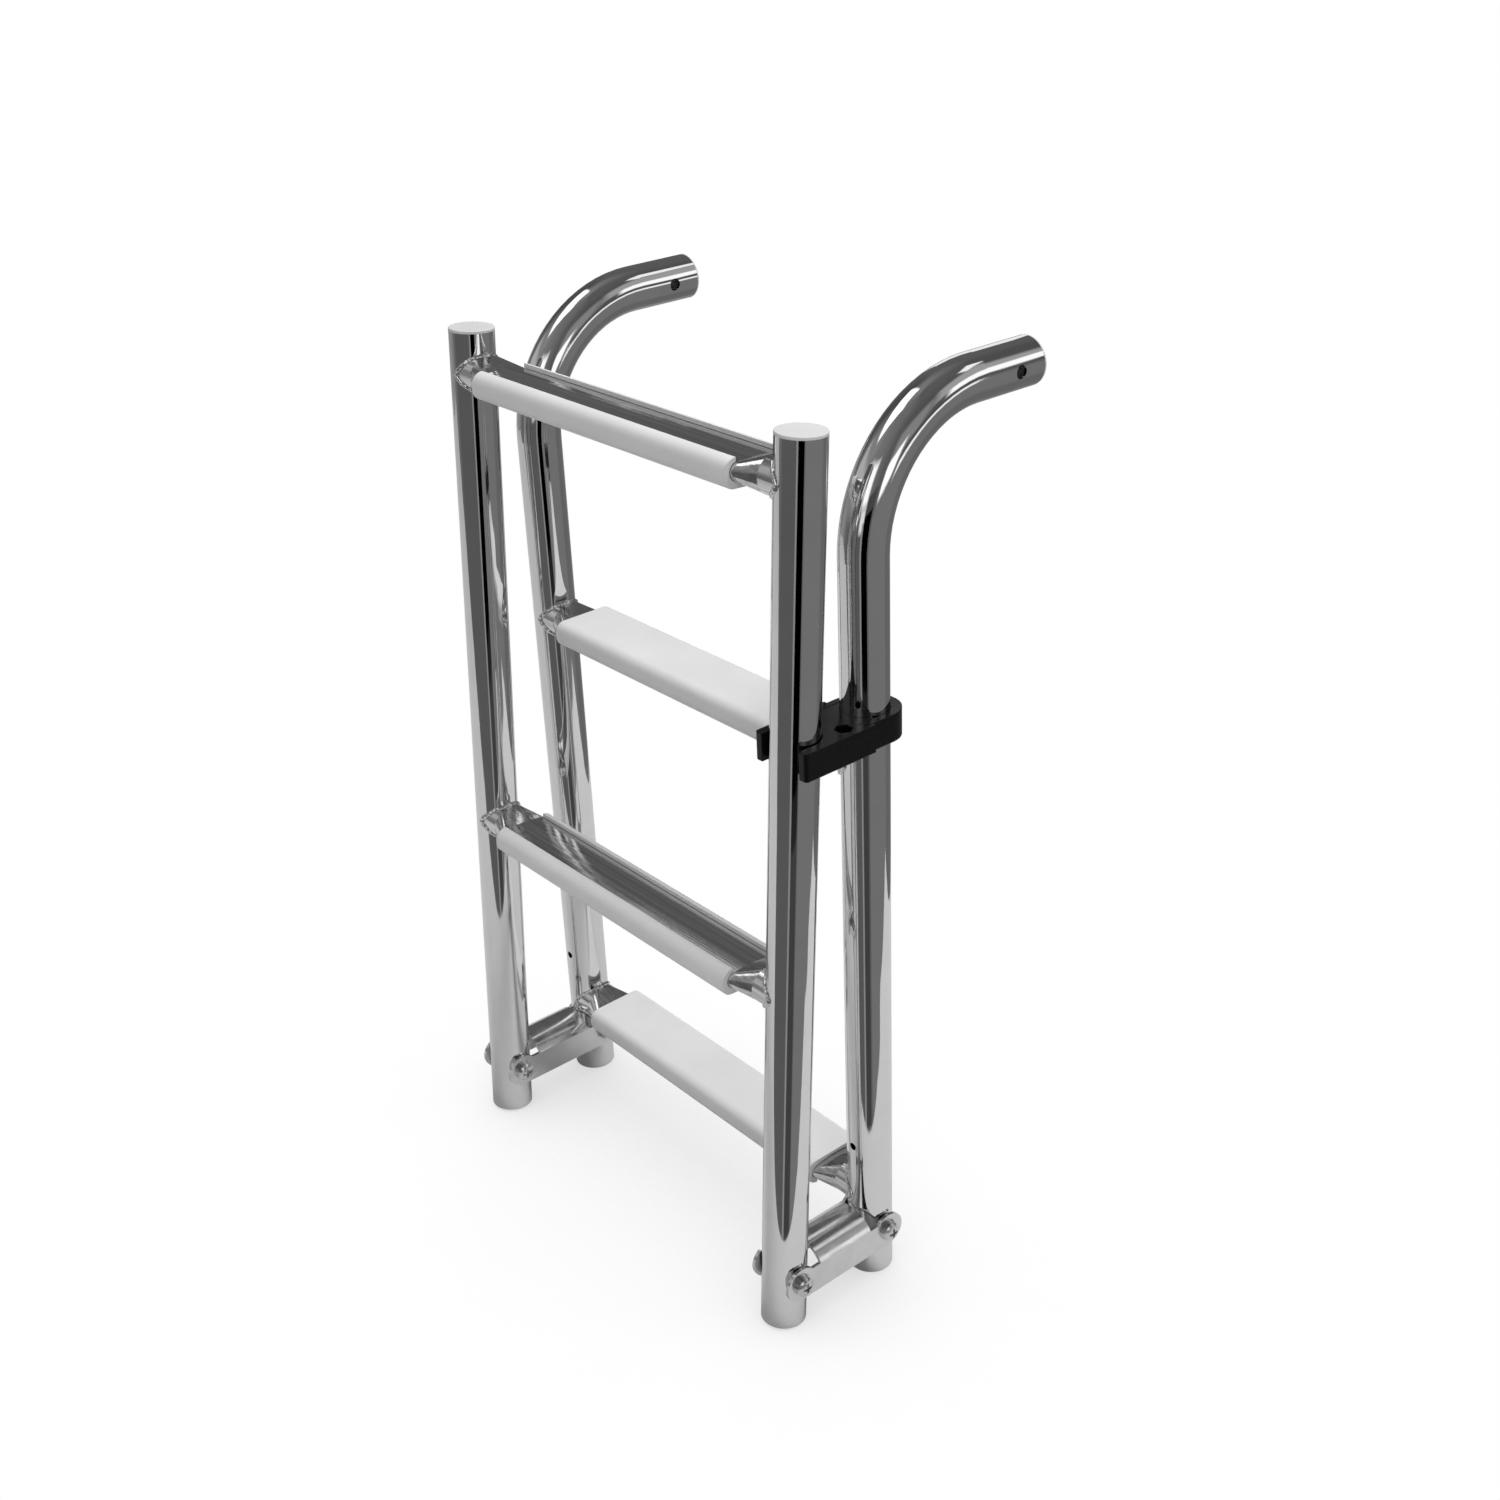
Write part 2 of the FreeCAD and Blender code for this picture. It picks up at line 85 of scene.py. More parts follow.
# Floor, and the soft shadow on it: open share at which it is deepest, open share at which it ends, its grey
FLOOR_COLOUR = 0.55
WIDE_FLOOR = 30.0
WIDE_FLOOR_DROP = 0.0005
SHADOW_SAMPLES = 16
SHADOW_REACH = 0.25
SHADOW_DEEPEST = 0.2
SHADOW_CLEAR = 0.90
SHADOW_GREY = 0.66
SQUARE = ((-1, -1), (1, -1), (1, 1), (-1, 1))

# Surroundings that the polished steel shows, as azimuth from +X and the grey seen there
LOW_WALLS = ((-180, 0.55), (-150, 0.50), (-135, 0.40), (-120, 0.33), (-60, 0.33), (-40, 0.33), (-27, 0.34),
             (-22, 0.43), (55, 0.43), (68, 0.38), (108, 0.39), (122, 0.48), (140, 0.57), (180, 0.55))
HIGH_WALLS = ((-180, 0.33), (-165, 0.40), (-150, 0.48), (-120, 0.50), (-100, 0.45), (-52, 0.40), (-30, 0.34),
              (0, 0.31), (90, 0.30), (110, 0.34), (150, 0.34), (163, 0.28), (180, 0.28))
CEILING = ((-180, 0.48), (-110, 0.42), (-40, 0.40), (0, 0.34), (80, 0.34), (150, 0.46), (180, 0.48))

# Elevations over which the low walls give way to the high ones, and these to the ceiling
TO_HIGH_WALLS = (-2.0, 8.0)
TO_CEILING = (50.0, 70.0)

# Bright and dark patches there: azimuth and half width, elevation and half height, soft edge, grey
PATCHES = (
    (-78, 16, 26, 10, 7, 1.0),
    (-65, 6, 4, 5, 4, 0.85),
    (-138, 20, 22, 6, 8, 0.66),
    (0, 14, 22, 14, 9, 0.50),
    (-8, 9, 13, 7, 4, 1.05),
    (42, 18, 34, 8, 7, 0.60),
    (25, 16, 7, 4, 4, 0.30),
    (27, 15, 0.5, 2.2, 1.5, 0.95),
    (44, 13, 20, 5, 3, 1.0),
    (62, 10, 50, 3.5, 2, 0.95),
    (-160, 30, 60, 11, 4, 1.15),
    (145, 15, 3, 6, 3, 0.32),
)
SHELL_RADIUS = 10.0
SHELL_CENTRE = Vector((0, 0, 0.45))
SHELL_SUBDIVISIONS = 5

# Steps of the curve between light and the grey that a screen shows for it
SCREEN_OFFSET = 0.055
SCREEN_POWER = 2.4
BLACK_BELOW = 0.04

# Bright card behind the right hook
HOOK_CARD_CENTRE = (-0.12, 0.29, 0.59)
HOOK_CARD_FACING = (0.72, -0.65, -0.2)
HOOK_CARD_SIZE = 0.14

# Dark panel beside the camera, as upright cards: distance, shift to the right, width, low, top and grey
PANEL_FROM = Vector((0.134, -0.06, 0))
PANEL_AZIMUTH = math.radians(-41)
PANEL_WAY = Vector((math.cos(PANEL_AZIMUTH), math.sin(PANEL_AZIMUTH), 0))
PANEL_SIDE = Vector((-PANEL_WAY.y, PANEL_WAY.x, 0))
PANEL_CARDS = (
    ("panel_rim", 0.86, -0.25, 0.12, -1.20, 0.50, 0.52),
    ("panel_haze", 0.86, 0.01, 0.42, 0.45, 0.74, 0.26),
    ("panel_foot", 0.85, 0.0, 0.36, -1.20, 0.0, 0.24),
    ("panel_middle", 0.845, 0.0, 0.37, -0.10, 0.0, 0.13),
    ("panel_dark", 0.84, 0.0, 0.38, -0.04, 0.55, 0.0),
)

# Light: strength of the soft light from all round, then each lamp's place, size and power
SOFT_LIGHT = 0.42
LAMP_TARGET = Vector((0, 0, 0.28))
LAMPS = (
    ("key_lamp", Vector((0.5, 1.6, 3.6)), 2.2, 112),
    ("front_lamp", Vector((0.6, -1.4, 3.4)), 2.2, 22),
    ("fill_lamp", Vector((1.8, -0.6, 0.9)), 1.2, 4),
)

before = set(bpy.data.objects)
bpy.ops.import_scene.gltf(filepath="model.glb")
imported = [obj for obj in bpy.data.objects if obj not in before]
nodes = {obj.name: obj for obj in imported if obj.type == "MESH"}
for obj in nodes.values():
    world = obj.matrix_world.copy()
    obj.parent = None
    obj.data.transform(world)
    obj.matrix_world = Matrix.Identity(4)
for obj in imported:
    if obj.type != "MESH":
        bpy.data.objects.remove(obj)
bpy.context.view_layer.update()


# Node helpers

def empty_material(name):
    """Material with nothing in its tree but the output."""
    mat = bpy.data.materials.new(name)
    mat.use_nodes = True
    tree = mat.node_tree
    tree.nodes.clear()
    return mat, tree, tree.nodes.new("ShaderNodeOutputMaterial")


def new_material(name, metallic=0.0):
    """Material of the ladder, and its Principled shader."""
    mat, tree, out = empty_material(name)
    shader = tree.nodes.new("ShaderNodeBsdfPrincipled")
    shader.inputs["Metallic"].default_value = metallic
    tree.links.new(shader.outputs[0], out.inputs[0])
    return mat, tree, shader


def coordinates(tree, stretch=(1, 1, 1)):
    """Object coordinates, scaled along each axis."""
    coord = tree.nodes.new("ShaderNodeTexCoord")
    mapping = tree.nodes.new("ShaderNodeMapping")
    mapping.inputs["Scale"].default_value = stretch
    tree.links.new(coord.outputs["Object"], mapping.inputs["Vector"])
    return mapping.outputs["Vector"]


def noise(tree, vector, scale, detail, roughness):
    """Value of a noise texture."""
    node = tree.nodes.new("ShaderNodeTexNoise")
    node.inputs["Scale"].default_value = scale
    node.inputs["Detail"].default_value = detail
    node.inputs["Roughness"].default_value = roughness
    tree.links.new(vector, node.inputs["Vector"])
    return node.outputs["Fac"]


def remap(tree, value, source, target):
    """Straight-line change from one range to another, clamped."""
    node = tree.nodes.new("ShaderNodeMapRange")
    node.inputs["From Min"].default_value = source[0]
    node.inputs["From Max"].default_value = source[1]
    node.inputs["To Min"].default_value = target[0]
    node.inputs["To Max"].default_value = target[1]
    tree.links.new(value, node.inputs["Value"])
    return node.outputs["Result"]


def grey_ramp(tree, value, source, greys):
    """Colour between two greys while a value runs over its range."""
    node = tree.nodes.new("ShaderNodeValToRGB")
    for element, position, grey in zip(node.color_ramp.elements, source, greys):
        element.position = position
        element.color = (grey, grey, grey, 1)
    tree.links.new(value, node.inputs["Fac"])
    return node.outputs["Color"]


def bump(tree, height, strength, distance, under=None):
    """Bump from a height value, laid over another normal if there is one."""
    node = tree.nodes.new("ShaderNodeBump")
    node.inputs["Strength"].default_value = strength
    node.inputs["Distance"].default_value = distance
    tree.links.new(height, node.inputs["Height"])
    if under is not None:
        tree.links.new(under, node.inputs["Normal"])
    return node.outputs["Normal"]


def math_node(tree, operation, *values):
    """Result of a sum on outputs or plain numbers."""
    node = tree.nodes.new("ShaderNodeMath")
    node.operation = operation
    for socket, value in zip(node.inputs, values):
        if isinstance(value, (int, float)):
            socket.default_value = value
        else:
            tree.links.new(value, socket)
    return node.outputs[0]


# Materials of the ladder

def rail_steel():
    """Polished stainless tube: a mirror with slow waves, fine polishing marks and faint smears."""
    mat, tree, shader = new_material("rail_steel", metallic=1.0)
    even = coordinates(tree)
    smears = noise(tree, even, scale=42.0, detail=5.0, roughness=0.62)
    marks = noise(tree, even, scale=1400.0, detail=3.0, roughness=0.6)
    waves = noise(tree, even, scale=26.0, detail=1.0, roughness=0.4)
    smeared_marks = math_node(tree, "MULTIPLY", marks, smears)
    gloss = remap(tree, smeared_marks, source=(0.16, 0.42), target=(0.03, 0.10))
    tint = grey_ramp(tree, smears, source=(0.3, 0.75), greys=(STEEL_TINT_SMEARED, STEEL_TINT))
    broad = bump(tree, waves, strength=0.12, distance=0.0006)
    fine = bump(tree, marks, strength=0.04, distance=0.00002, under=broad)
    tree.links.new(gloss, shader.inputs["Roughness"])
    tree.links.new(tint, shader.inputs["Base Color"])
    tree.links.new(fine, shader.inputs["Normal"])
    return mat


def worn_steel(name, wear, rough, tones, greys, relief, stretch=(1, 1, 1), waves=None):
    """Steel whose gloss and tone follow one noise; its relief follows that noise or slower waves."""
    mat, tree, shader = new_material(name, metallic=1.0)
    vector = coordinates(tree, stretch)
    worn = noise(tree, vector, *wear)
    height = noise(tree, vector, *waves) if waves else worn
    tree.links.new(remap(tree, worn, NOISE_RANGE, rough), shader.inputs["Roughness"])
    tree.links.new(grey_ramp(tree, worn, tones, greys), shader.inputs["Base Color"])
    tree.links.new(bump(tree, height, *relief), shader.inputs["Normal"])
    return mat


def drawn_steel():
    """Pressed tube of the rungs: polished, with drawing lines along its length."""
    return worn_steel("drawn_steel", wear=(1.0, 4.0, 0.6), rough=(0.05, 0.16), tones=(0.32, 0.66),
                      greys=(0.56, 0.84), relief=(0.35, 0.0003), stretch=(5, 420, 420))


def pressed_steel():
    """Sheet steel of the links: polished, but softer and a little uneven."""
    return worn_steel("pressed_steel", wear=(90.0, 6.0, 0.65), rough=(0.12, 0.26), tones=NOISE_RANGE,
                      greys=(0.66, 0.76), relief=(0.25, 0.0003), waves=(55.0, 2.0, 0.4))


def fastener_steel():
    """Bright bolts and nuts with light wear."""
    return worn_steel("fastener_steel", wear=(420.0, 5.0, 0.6), rough=(0.14, 0.34), tones=(0.3, 0.75),
                      greys=(0.52, 0.78), relief=(0.2, 0.0001))


def weld_steel():
    """Weld beads: bright, rippled and uneven."""
    return worn_steel("weld_steel", wear=(700.0, 3.0, 0.55), rough=(0.08, 0.24), tones=NOISE_RANGE,
                      greys=(0.55, 0.86), relief=(0.5, 0.0004))


def moulded_plastic(name, greys, rough, grain_scale, grain_depth, edge, shine):
    """Moulded plastic with a fine grain, slight clouding and softened edges."""
    mat, tree, shader = new_material(name)
    shader.inputs["Specular IOR Level"].default_value = shine
    vector = coordinates(tree)
    cloud = noise(tree, vector, scale=24.0, detail=4.0, roughness=0.55)
    grain = noise(tree, vector, scale=grain_scale, detail=3.0, roughness=0.6)
    rounded = tree.nodes.new("ShaderNodeBevel")
    rounded.samples = BEVEL_SAMPLES
    rounded.inputs["Radius"].default_value = edge
    relief = bump(tree, grain, strength=0.25, distance=grain_depth, under=rounded.outputs["Normal"])
    tree.links.new(grey_ramp(tree, cloud, NOISE_RANGE, greys), shader.inputs["Base Color"])
    tree.links.new(remap(tree, cloud, NOISE_RANGE, rough), shader.inputs["Roughness"])
    tree.links.new(relief, shader.inputs["Normal"])
    return mat


def tread_white():
    """Satin white of the treads."""
    return moulded_plastic("tread_white", greys=(0.66, 0.70), rough=(0.42, 0.52), grain_scale=1500.0,
                           grain_depth=0.00004, edge=0.0006, shine=0.5)


def cap_white():
    """Satin white of the caps and plugs."""
    return moulded_plastic("cap_white", greys=(0.58, 0.62), rough=(0.38, 0.5), grain_scale=1500.0,
                           grain_depth=0.00004, edge=0.0003, shine=0.5)


def clip_black():
    """Satin black of the clip."""
    return moulded_plastic("clip_black", greys=(0.002, 0.004), rough=(0.2, 0.32), grain_scale=1200.0,
                           grain_depth=0.00006, edge=0.0008, shine=0.22)


# Stage

def add_mesh(name, points, faces, mat):
    """Mesh object from points and faces."""
    mesh = bpy.data.meshes.new(name)
    mesh.from_pydata([tuple(p) for p in points], [], faces)
    mesh.update()
    mesh.materials.append(mat)
    obj = bpy.data.objects.new(name, mesh)
    bpy.context.scene.collection.objects.link(obj)
    return obj


def seen_only_by(obj, camera=False, glossy=False, diffuse=False):
    """Choose which rays see a stage object. It never blocks a lamp."""
    obj.visible_camera = camera
    obj.visible_glossy = glossy
    obj.visible_diffuse = diffuse
    obj.visible_transmission = glossy
    obj.visible_shadow = False


def glow_material(name, grey):
    """Plain glow of one grey, for studio cards."""
    mat, tree, out = empty_material(name)
    glow = tree.nodes.new("ShaderNodeEmission")
    glow.inputs["Color"].default_value = (grey, grey, grey, 1)
    tree.links.new(glow.outputs[0], out.inputs[0])
    return mat


def matt_white(tree):
    """Matt white shader of the floor and the table."""
    soft = tree.nodes.new("ShaderNodeBsdfDiffuse")
    soft.inputs["Color"].default_value = (FLOOR_COLOUR, FLOOR_COLOUR, FLOOR_COLOUR, 1)
    return soft


def table_material():
    """White table top that the polished steel shows."""
    mat, tree, out = empty_material("table_white")
    add = tree.nodes.new("ShaderNodeAddShader")
    light = tree.nodes.new("ShaderNodeEmission")
    light.inputs["Strength"].default_value = TABLE_GLOSS
    tree.links.new(matt_white(tree).outputs[0], add.inputs[0])
    tree.links.new(light.outputs[0], add.inputs[1])
    tree.links.new(add.outputs[0], out.inputs[0])
    return mat


def floor_material():
    """Floor as white as the background, with a soft shadow, and clear where the ladder hangs below it."""
    mat, tree, out = empty_material("floor_white")
    mix = tree.nodes.new("ShaderNodeMixShader")
    rays = tree.nodes.new("ShaderNodeLightPath")
    clear = tree.nodes.new("ShaderNodeBsdfTransparent")
    near = tree.nodes.new("ShaderNodeAmbientOcclusion")
    near.samples = SHADOW_SAMPLES
    near.inputs["Distance"].default_value = SHADOW_REACH
    shade = remap(tree, near.outputs["AO"], source=(SHADOW_DEEPEST, SHADOW_CLEAR), target=(SHADOW_GREY, 1.0))
    tree.links.new(shade, clear.inputs["Color"])
    tree.links.new(rays.outputs["Is Camera Ray"], mix.inputs[0])
    tree.links.new(matt_white(tree).outputs[0], mix.inputs[1])
    tree.links.new(clear.outputs[0], mix.inputs[2])
    tree.links.new(mix.outputs[0], out.inputs[0])
    return mat


def build_floor():
    """White floor under the ladder, which shows in the steel only as far as a table top's outline."""
    top = add_mesh("table_top", [(x, y, 0) for x, y in TABLE_OUTLINE], [tuple(range(len(TABLE_OUTLINE)))],
                   table_material())
    seen_only_by(top, glossy=True)
    corners = [(sx * WIDE_FLOOR, sy * WIDE_FLOOR, -WIDE_FLOOR_DROP) for sx, sy in SQUARE]
    floor = add_mesh("wide_floor", corners, [(0, 1, 2, 3)], floor_material())
    seen_only_by(floor, camera=True, diffuse=True)


def seen_in_steel(grey):
    """Glow that shows as a given grey, 0 black to 1 white, in polished steel."""
    if grey <= BLACK_BELOW:
        return 0.0
    return ((grey + SCREEN_OFFSET) / (1 + SCREEN_OFFSET)) ** SCREEN_POWER / STEEL_TINT


def azimuth_ramp(tree, turn, stops):
    """Grey along the azimuth, as straight runs between a few stops."""
    node = tree.nodes.new("ShaderNodeValToRGB")
    ramp = node.color_ramp
    while len(ramp.elements) < len(stops):
        ramp.elements.new(0.5)
    for element, (azimuth, grey) in zip(ramp.elements, stops):
        element.position = (azimuth + 180) / 360
    for element, (azimuth, grey) in zip(ramp.elements, stops):
        level = seen_in_steel(grey)
        element.color = (level, level, level, 1)
    tree.links.new(turn, node.inputs["Fac"])
    return node.outputs["Color"]


def mix_values(tree, share, below, above):
    """Value that goes from one input to the other."""
    difference = math_node(tree, "SUBTRACT", above, below)
    return math_node(tree, "MULTIPLY_ADD", difference, share, below)


def window(tree, value, centre, half, soft, wraps):
    """1 inside a range and 0 outside it, with soft edges; an azimuth wraps round."""
    offset = math_node(tree, "SUBTRACT", value, centre)
    if wraps:
        offset = math_node(tree, "WRAP", offset, 180.0, -180.0)
    away = math_node(tree, "ABSOLUTE", offset)
    return remap(tree, away, source=(half + soft, half), target=(0.0, 1.0))


def room_material():
    """Studio walls, ceiling and lights around the table, by direction."""
    mat, tree, out = empty_material("room_walls")
    glow = tree.nodes.new("ShaderNodeEmission")
    coord = tree.nodes.new("ShaderNodeTexCoord")
    axes = tree.nodes.new("ShaderNodeSeparateXYZ")
    tree.links.new(coord.outputs["Object"], axes.inputs[0])
    x, y, z = (axes.outputs[axis] for axis in "XYZ")
    azimuth = math_node(tree, "DEGREES", math_node(tree, "ARCTAN2", y, x))
    sine = math_node(tree, "DIVIDE", z, SHELL_RADIUS)
    elevation = math_node(tree, "DEGREES", math_node(tree, "ARCSINE", sine))
    turn = remap(tree, azimuth, source=(-180.0, 180.0), target=(0.0, 1.0))
    total = azimuth_ramp(tree, turn, LOW_WALLS)
    for stops, change in ((HIGH_WALLS, TO_HIGH_WALLS), (CEILING, TO_CEILING)):
        share = remap(tree, elevation, source=change, target=(0.0, 1.0))
        total = mix_values(tree, share, total, azimuth_ramp(tree, turn, stops))
    for turn_to, half_width, rise, half_height, soft, grey in PATCHES:
        across = window(tree, azimuth, turn_to, half_width, soft, True)
        upward = window(tree, elevation, rise, half_height, soft, False)
        share = math_node(tree, "MULTIPLY", across, upward)
        total = mix_values(tree, share, total, seen_in_steel(grey))
    tree.links.new(total, glow.inputs["Color"])
    tree.links.new(glow.outputs[0], out.inputs[0])
    return mat


def card(name, centre, facing, width, height, grey):
    """Upright or tilted glowing rectangle that faces along a direction and only reflections see."""
    facing = Vector(facing).normalized()
    side = facing.cross(Vector((0, 0, 1))).normalized()
    up = side.cross(facing)
    centre = Vector(centre)
    corners = [centre + side * (sx * width / 2) + up * (sy * height / 2) for sx, sy in SQUARE]
    obj = add_mesh(name, corners, [(0, 1, 2, 3)], glow_material(name, grey))
    seen_only_by(obj, glossy=True)


def build_shell():
    """Wide shell round the table that only reflections see."""
    mesh = bpy.data.meshes.new("room_shell")
    shape = bmesh.new()
    bmesh.ops.create_icosphere(shape, subdivisions=SHELL_SUBDIVISIONS, radius=SHELL_RADIUS)
    shape.to_mesh(mesh)
    shape.free()
    shell = bpy.data.objects.new("room_shell", mesh)
    shell.location = SHELL_CENTRE
    mesh.materials.append(room_material())
    bpy.context.scene.collection.objects.link(shell)
    seen_only_by(shell, glossy=True)


def build_cards():
    """Bright card behind the right hook, and the dark panel beside the camera."""
    card("hook_card", HOOK_CARD_CENTRE, HOOK_CARD_FACING, HOOK_CARD_SIZE, HOOK_CARD_SIZE, 1.0)
    for name, distance, shift, width, low, top, grey in PANEL_CARDS:
        centre = PANEL_FROM + PANEL_WAY * distance + PANEL_SIDE * shift
        centre.z = (top + low) / 2
        card(name, centre, -PANEL_WAY, width, top - low, seen_in_steel(grey))


def background(tree, strength):
    """White background light of one strength."""
    node = tree.nodes.new("ShaderNodeBackground")
    node.inputs["Color"].default_value = (1, 1, 1, 1)
    node.inputs["Strength"].default_value = strength
    return node.outputs[0]


def build_world():
    """White background, and a soft grey light for matt surfaces."""
    world = bpy.data.worlds.new("studio")
    bpy.context.scene.world = world
    world.use_nodes = True
    tree = world.node_tree
    tree.nodes.clear()
    out = tree.nodes.new("ShaderNodeOutputWorld")
    rays = tree.nodes.new("ShaderNodeLightPath")
    shown = rays.outputs["Is Camera Ray"]
    for kind in ("Is Glossy Ray", "Is Transmission Ray"):
        shown = math_node(tree, "MAXIMUM", shown, rays.outputs[kind])
    mix = tree.nodes.new("ShaderNodeMixShader")
    tree.links.new(shown, mix.inputs[0])
    tree.links.new(background(tree, SOFT_LIGHT), mix.inputs[1])
    tree.links.new(background(tree, 1.0), mix.inputs[2])
    tree.links.new(mix.outputs[0], out.inputs[0])


def build_lamps():
    """Round soft lamps that don't show in the steel."""
    for name, place, size, power in LAMPS:
        light = bpy.data.lights.new(name, "AREA")
        light.shape = "DISK"
        light.size = size
        light.energy = power
        lamp = bpy.data.objects.new(name, light)
        lamp.location = place
        lamp.rotation_mode = "QUATERNION"
        lamp.rotation_quaternion = (LAMP_TARGET - place).to_track_quat("-Z", "Y")
        lamp.visible_glossy = False
        bpy.context.scene.collection.objects.link(lamp)


def build_camera():
    """Camera at the photograph's place, turned and rolled as it was."""
    az = math.radians(CAMERA_AZIMUTH)
    el = math.radians(CAMERA_ELEVATION)
    roll = math.radians(CAMERA_ROLL)
    forward = Vector((-math.sin(az) * math.cos(el), math.cos(az) * math.cos(el), -math.sin(el)))
    right = forward.cross(Vector((0, 0, 1))).normalized()
    up = right.cross(forward)
    turned_right = right * math.cos(roll) + up * math.sin(roll)
    turned_up = up * math.cos(roll) - right * math.sin(roll)
    data = bpy.data.cameras.new("photo_camera")
    data.sensor_width = SENSOR_MM
    data.lens = FOCAL_PIXELS / IMAGE_PIXELS * SENSOR_MM
    data.clip_start = NEAREST_SEEN
    data.clip_end = FARTHEST_SEEN
    camera = bpy.data.objects.new("photo_camera", data)
    turn = Matrix((turned_right, turned_up, -forward)).transposed()
    camera.matrix_world = Matrix.Translation(CAMERA_PLACE) @ turn.to_4x4()
    bpy.context.scene.collection.objects.link(camera)
    bpy.context.scene.camera = camera


# Pieces that the solids leave out

def tube_points(points, radii, ring, closed):
    """Rings of points round a line, one radius at each of its points."""
    count = len(points)
    places = []
    for index, centre in enumerate(points):
        before = points[index - 1] if closed or index else centre
        after = points[(index + 1) % count] if closed or index + 1 < count else centre
        way = (after - before).normalized()
        side = way.cross(ODD_WAY).normalized()
        up = way.cross(side)
        for step in range(ring):
            angle = 2 * math.pi * step / ring
            places.append(centre + (side * math.cos(angle) + up * math.sin(angle)) * radii[index])
    return places


def tube_faces(count, ring, closed):
    """Faces between neighbouring rings, and over both ends of an open tube."""
    faces = []
    for index in range(count if closed else count - 1):
        following = (index + 1) % count
        for step in range(ring):
            beside = (step + 1) % ring
            faces.append((index * ring + step, index * ring + beside, following * ring + beside,
                          following * ring + step))
    if not closed:
        faces.append(tuple(range(ring)))
        faces.append(tuple(reversed(range((count - 1) * ring, count * ring))))
    return faces


def tube_along(name, points, radii, ring, mat, closed):
    """Smooth mesh tube of changing radius along a line of points."""
    places = tube_points(points, radii, ring, closed)
    obj = add_mesh(name, places, tube_faces(len(points), ring, closed), mat)
    shape = bmesh.new()
    shape.from_mesh(obj.data)
    bmesh.ops.recalc_face_normals(shape, faces=shape.faces)
    shape.to_mesh(obj.data)
    shape.free()
    for polygon in obj.data.polygons:
        polygon.use_smooth = True
    return obj


def in_fold(point):
    """Carry a point drawn about the fold pivot onto the leaning folded section."""
    return Matrix.Rotation(-FOLD_LEAN, 4, "X") @ point + FOLD_PIVOT


def in_main(point):
    """Carry a point drawn about the main rails' foot line onto the main section."""
    return point + Vector((0, MAIN_Y, 0))


def weld_line(side, rise):
    """Line where a rung's end meets its rail, before it is carried onto a section."""
    flat = RUNG_END_HALF_WIDTH - RUNG_END_HALF_HEIGHT
    points = []
    for index in range(WELD_POINTS):
        angle = 2 * math.pi * index / WELD_POINTS
        widening = math.copysign(flat, math.cos(angle)) * abs(math.cos(angle)) ** WELD_SQUARENESS
        y = math.cos(angle) * RUNG_END_HALF_HEIGHT + widening
        z = math.sin(angle) * RUNG_END_HALF_HEIGHT
        inward = math.sqrt(TUBE_R ** 2 - y ** 2)
        points.append(Vector((side * (HALF_SPACING - inward), y, rise + z)))
    return points


def weld_radii(chance):
    """Bead size along a weld: close ripples with an uneven height."""
    sizes = []
    swell = 0.0
    for index in range(WELD_POINTS):
        swell = SWELL_KEPT * swell + SWELL_ADDED * chance.uniform(-1, 1)
        ripple = abs(math.sin(math.pi * WELD_WAVES * index / WELD_POINTS))
        sizes.append(WELD_RADIUS + WELD_RIPPLE * (ripple + swell))
    return sizes


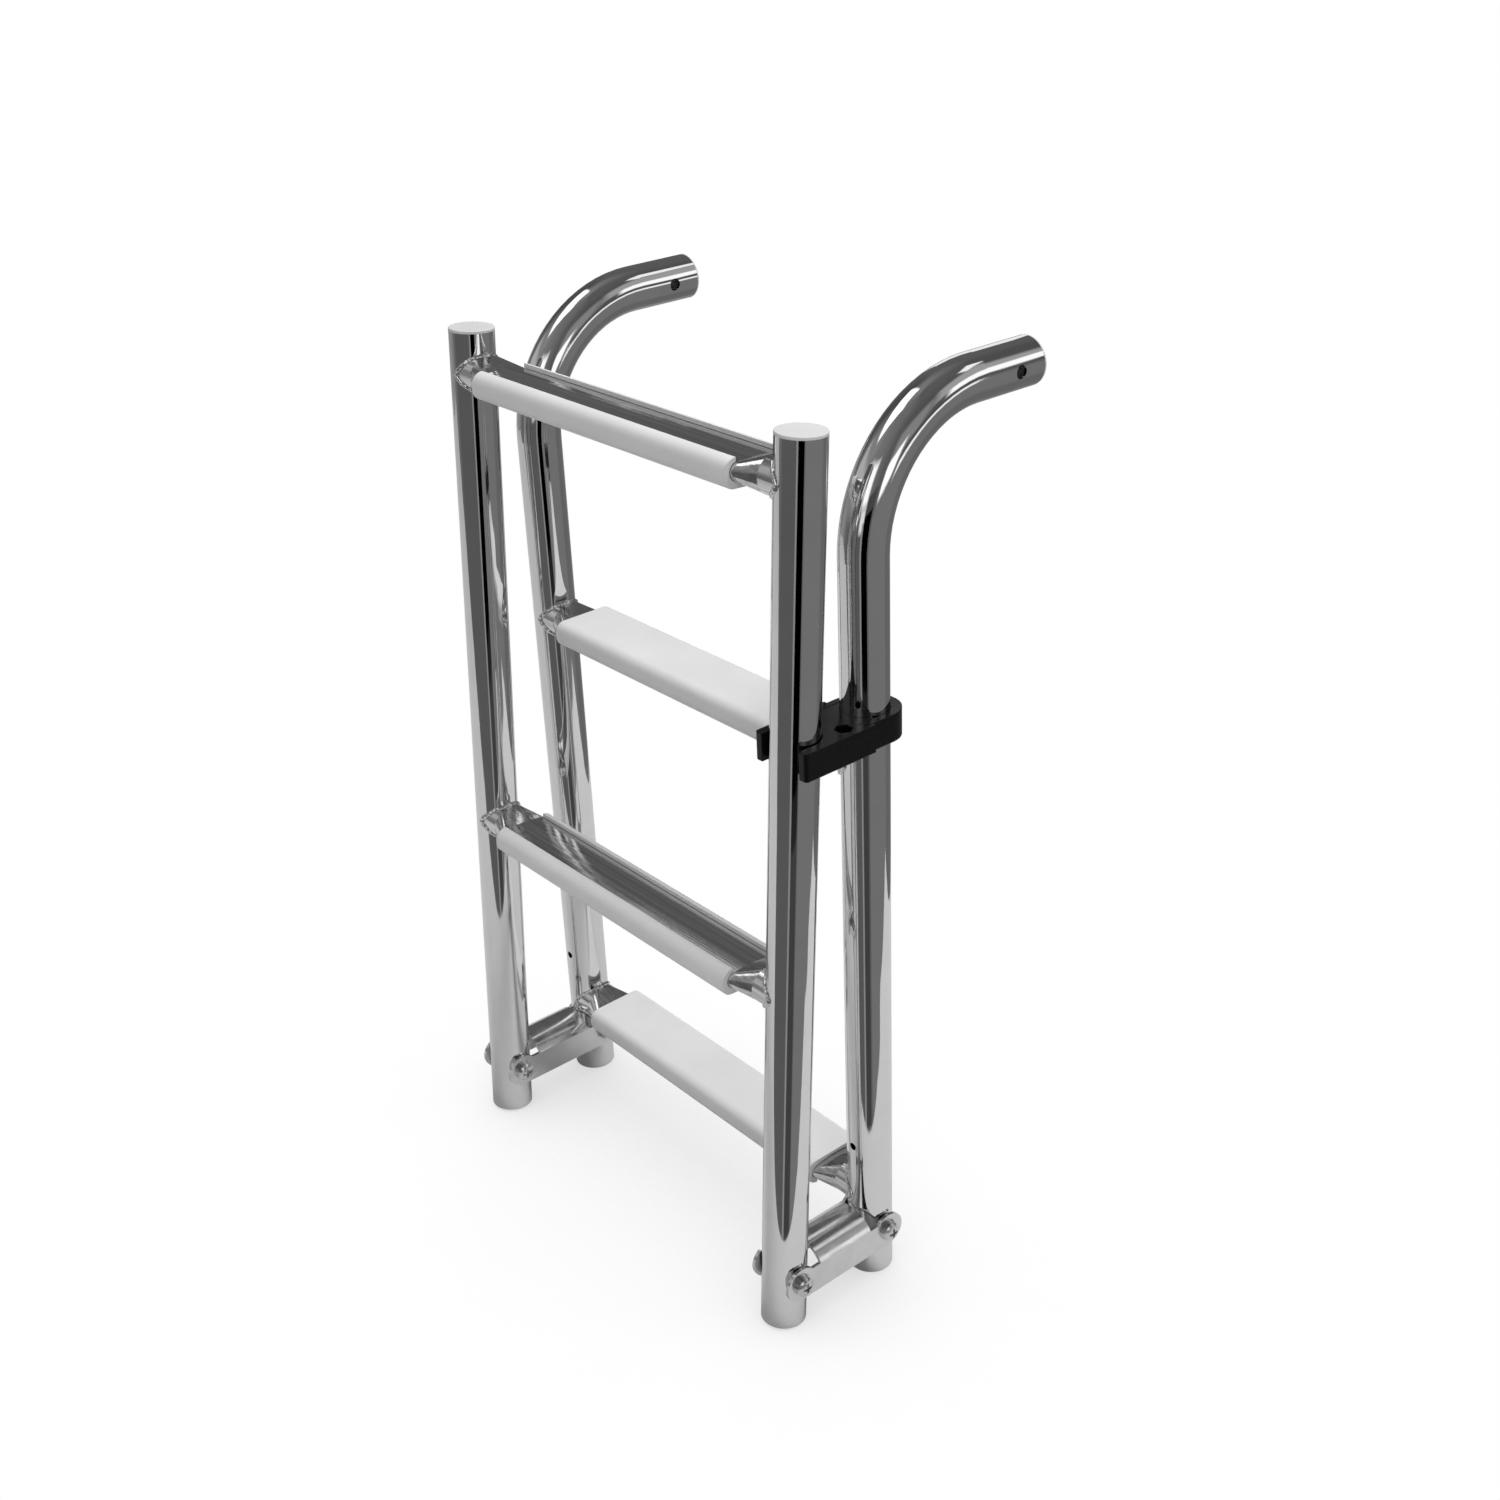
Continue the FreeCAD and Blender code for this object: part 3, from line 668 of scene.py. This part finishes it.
def build_welds(mat):
    """Weld bead round each end of the four rungs."""
    chance = random.Random(WELD_SEED)
    sections = (
        ("main", "main_section", MAIN_RUNG_HEIGHTS, in_main),
        ("fold", "folding_section", FOLD_RUNG_RISES, in_fold),
    )
    for section, body, rises, carry in sections:
        for level, rise in zip(("lower", "upper"), rises):
            for name, side in SIDES:
                line = [carry(point) for point in weld_line(side, rise)]
                title = "weld_%s_%s_%s" % (section, level, name)
                bead = tube_along(title, line, weld_radii(chance), WELD_RING, mat, True)
                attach(bead, body)


def build_link_lips(mat):
    """Rolled edge at each end of the links' rounded crowns."""
    rise = LINK_OUTER - LINK_CREASE
    crown_r = (LINK_OUTER ** 2 + rise ** 2) / (2 * rise)
    half_angle = math.asin(LINK_OUTER / crown_r)
    arc_r = crown_r - LIP_RADIUS
    tilt = Matrix.Rotation(-LINK_TILT, 4, "X")
    ends = (("back", -LINK_END_FROM_PIVOT), ("front", LINK_END_FROM_PIVOT - HINGE_PITCH))
    for name, side in SIDES:
        base = Vector((side * HALF_SPACING, MAIN_Y, PIVOT_HEIGHT))
        for end, y in ends:
            line = []
            for index in range(LIP_POINTS):
                angle = half_angle * (2 * index / (LIP_POINTS - 1) - 1)
                point = Vector((arc_r * math.sin(angle), y, LINK_OUTER - crown_r + arc_r * math.cos(angle)))
                line.append(tilt @ point + base)
            title = "link_lip_%s_%s" % (end, name)
            lip = tube_along(title, line, [LIP_RADIUS] * LIP_POINTS, LIP_RING, mat, False)
            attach(lip, "hinge_links")


# Finishes on the solids

def give(node, mat):
    """Put one material on every slot of a solid."""
    mesh = nodes[node].data
    if not mesh.materials:
        mesh.materials.append(mat)
    for index in range(len(mesh.materials)):
        mesh.materials[index] = mat


def finish_solids():
    """Give each solid the finish that its name calls for, and add the small pieces."""
    tube = rail_steel()
    link = pressed_steel()
    cap = cap_white()
    finishes = (
        ("tread", tread_white()),
        ("rung", drawn_steel()),
        ("clip", clip_black()),
        ("cap", cap),
        ("plug", cap),
        ("pivot", fastener_steel()),
        ("link", link),
        ("rail", tube),
    )
    for node in nodes:
        for word, mat in finishes:
            if word in node:
                give(node, mat)
                break
    build_welds(weld_steel())
    build_link_lips(link)


bpy.context.scene.view_settings.view_transform = "Standard"
build_world()
build_floor()
build_shell()
build_cards()
build_lamps()
build_camera()
finish_solids()
